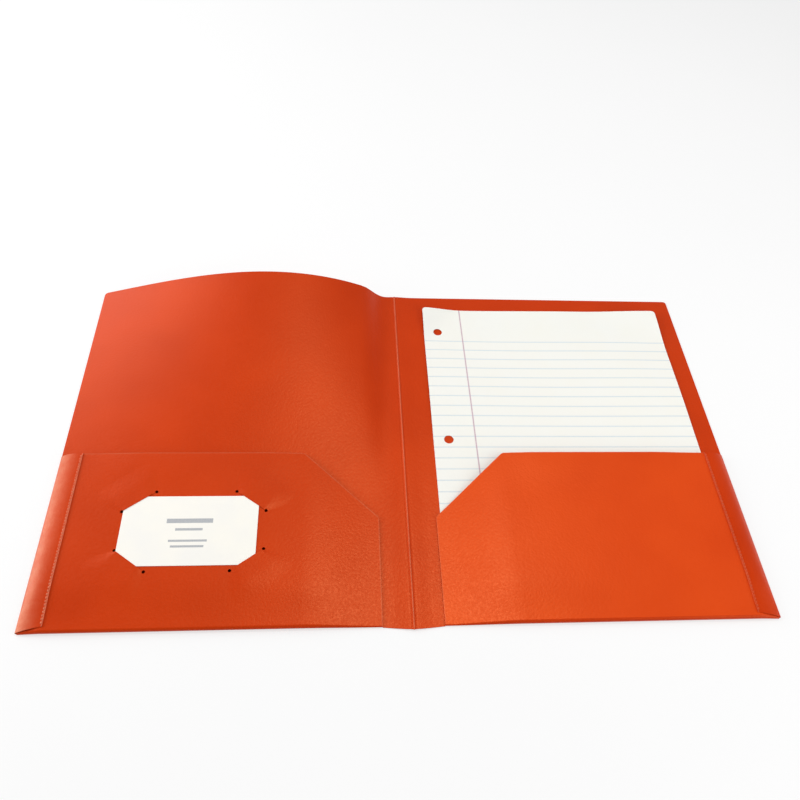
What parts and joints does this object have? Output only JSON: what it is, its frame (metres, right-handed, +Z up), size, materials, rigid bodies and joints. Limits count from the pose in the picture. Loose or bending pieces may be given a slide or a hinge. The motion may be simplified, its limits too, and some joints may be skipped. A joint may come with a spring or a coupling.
{
  "type": "two pocket folder",
  "caption": "Pocket folder of folded plastic sheet, lying open, with a living hinge, welded side flaps, slits that hold a business card, and ruled paper in a pocket.",
  "frame": {"origin": "on the crease, half way up the folder, on the surface that the folder lies on", "axes": "+X across the folder to the right cover, +Y from the bottom edge to the top edge, +Z up"},
  "size_m": [0.4826, 0.2922, 0.0225],
  "materials": {
    "poly_sheet": "satin, fine grain",
    "paper": "matt",
    "card": "matt"
  },
  "bodies": {
    "right_half": {"right_cover": "poly_sheet", "living_hinge": "poly_sheet", "right_pocket_panel": "poly_sheet", "right_bottom_fold": "poly_sheet", "right_side_flap": "poly_sheet", "right_side_fold": "poly_sheet", "right_weld_beads": "poly_sheet"},
    "left_half": {"left_cover": "poly_sheet", "left_pocket_panel": "poly_sheet", "left_bottom_fold": "poly_sheet", "left_side_flap": "poly_sheet", "left_side_fold": "poly_sheet", "left_weld_beads": "poly_sheet", "card_corner_tabs": "poly_sheet"},
    "paper": {"ruled_sheet": "paper"},
    "card": {"business_card": "card"}
  },
  "joints": [
    {"name": "spine_fold", "type": "hinge", "parent": "right_half", "child": "left_half", "pos_m": [0, 0, 0.00045], "axis": [0, 1, 0], "range_deg": [0, 166]},
    {"name": "sheet_slide", "type": "slide", "parent": "right_half", "child": "paper", "axis": [0, 1, 0], "range_m": [0, 0.13]},
    {"name": "card_slide", "type": "slide", "parent": "left_half", "child": "card", "axis": [1, 0, 0], "range_m": [0, 0.004]}
  ]
}
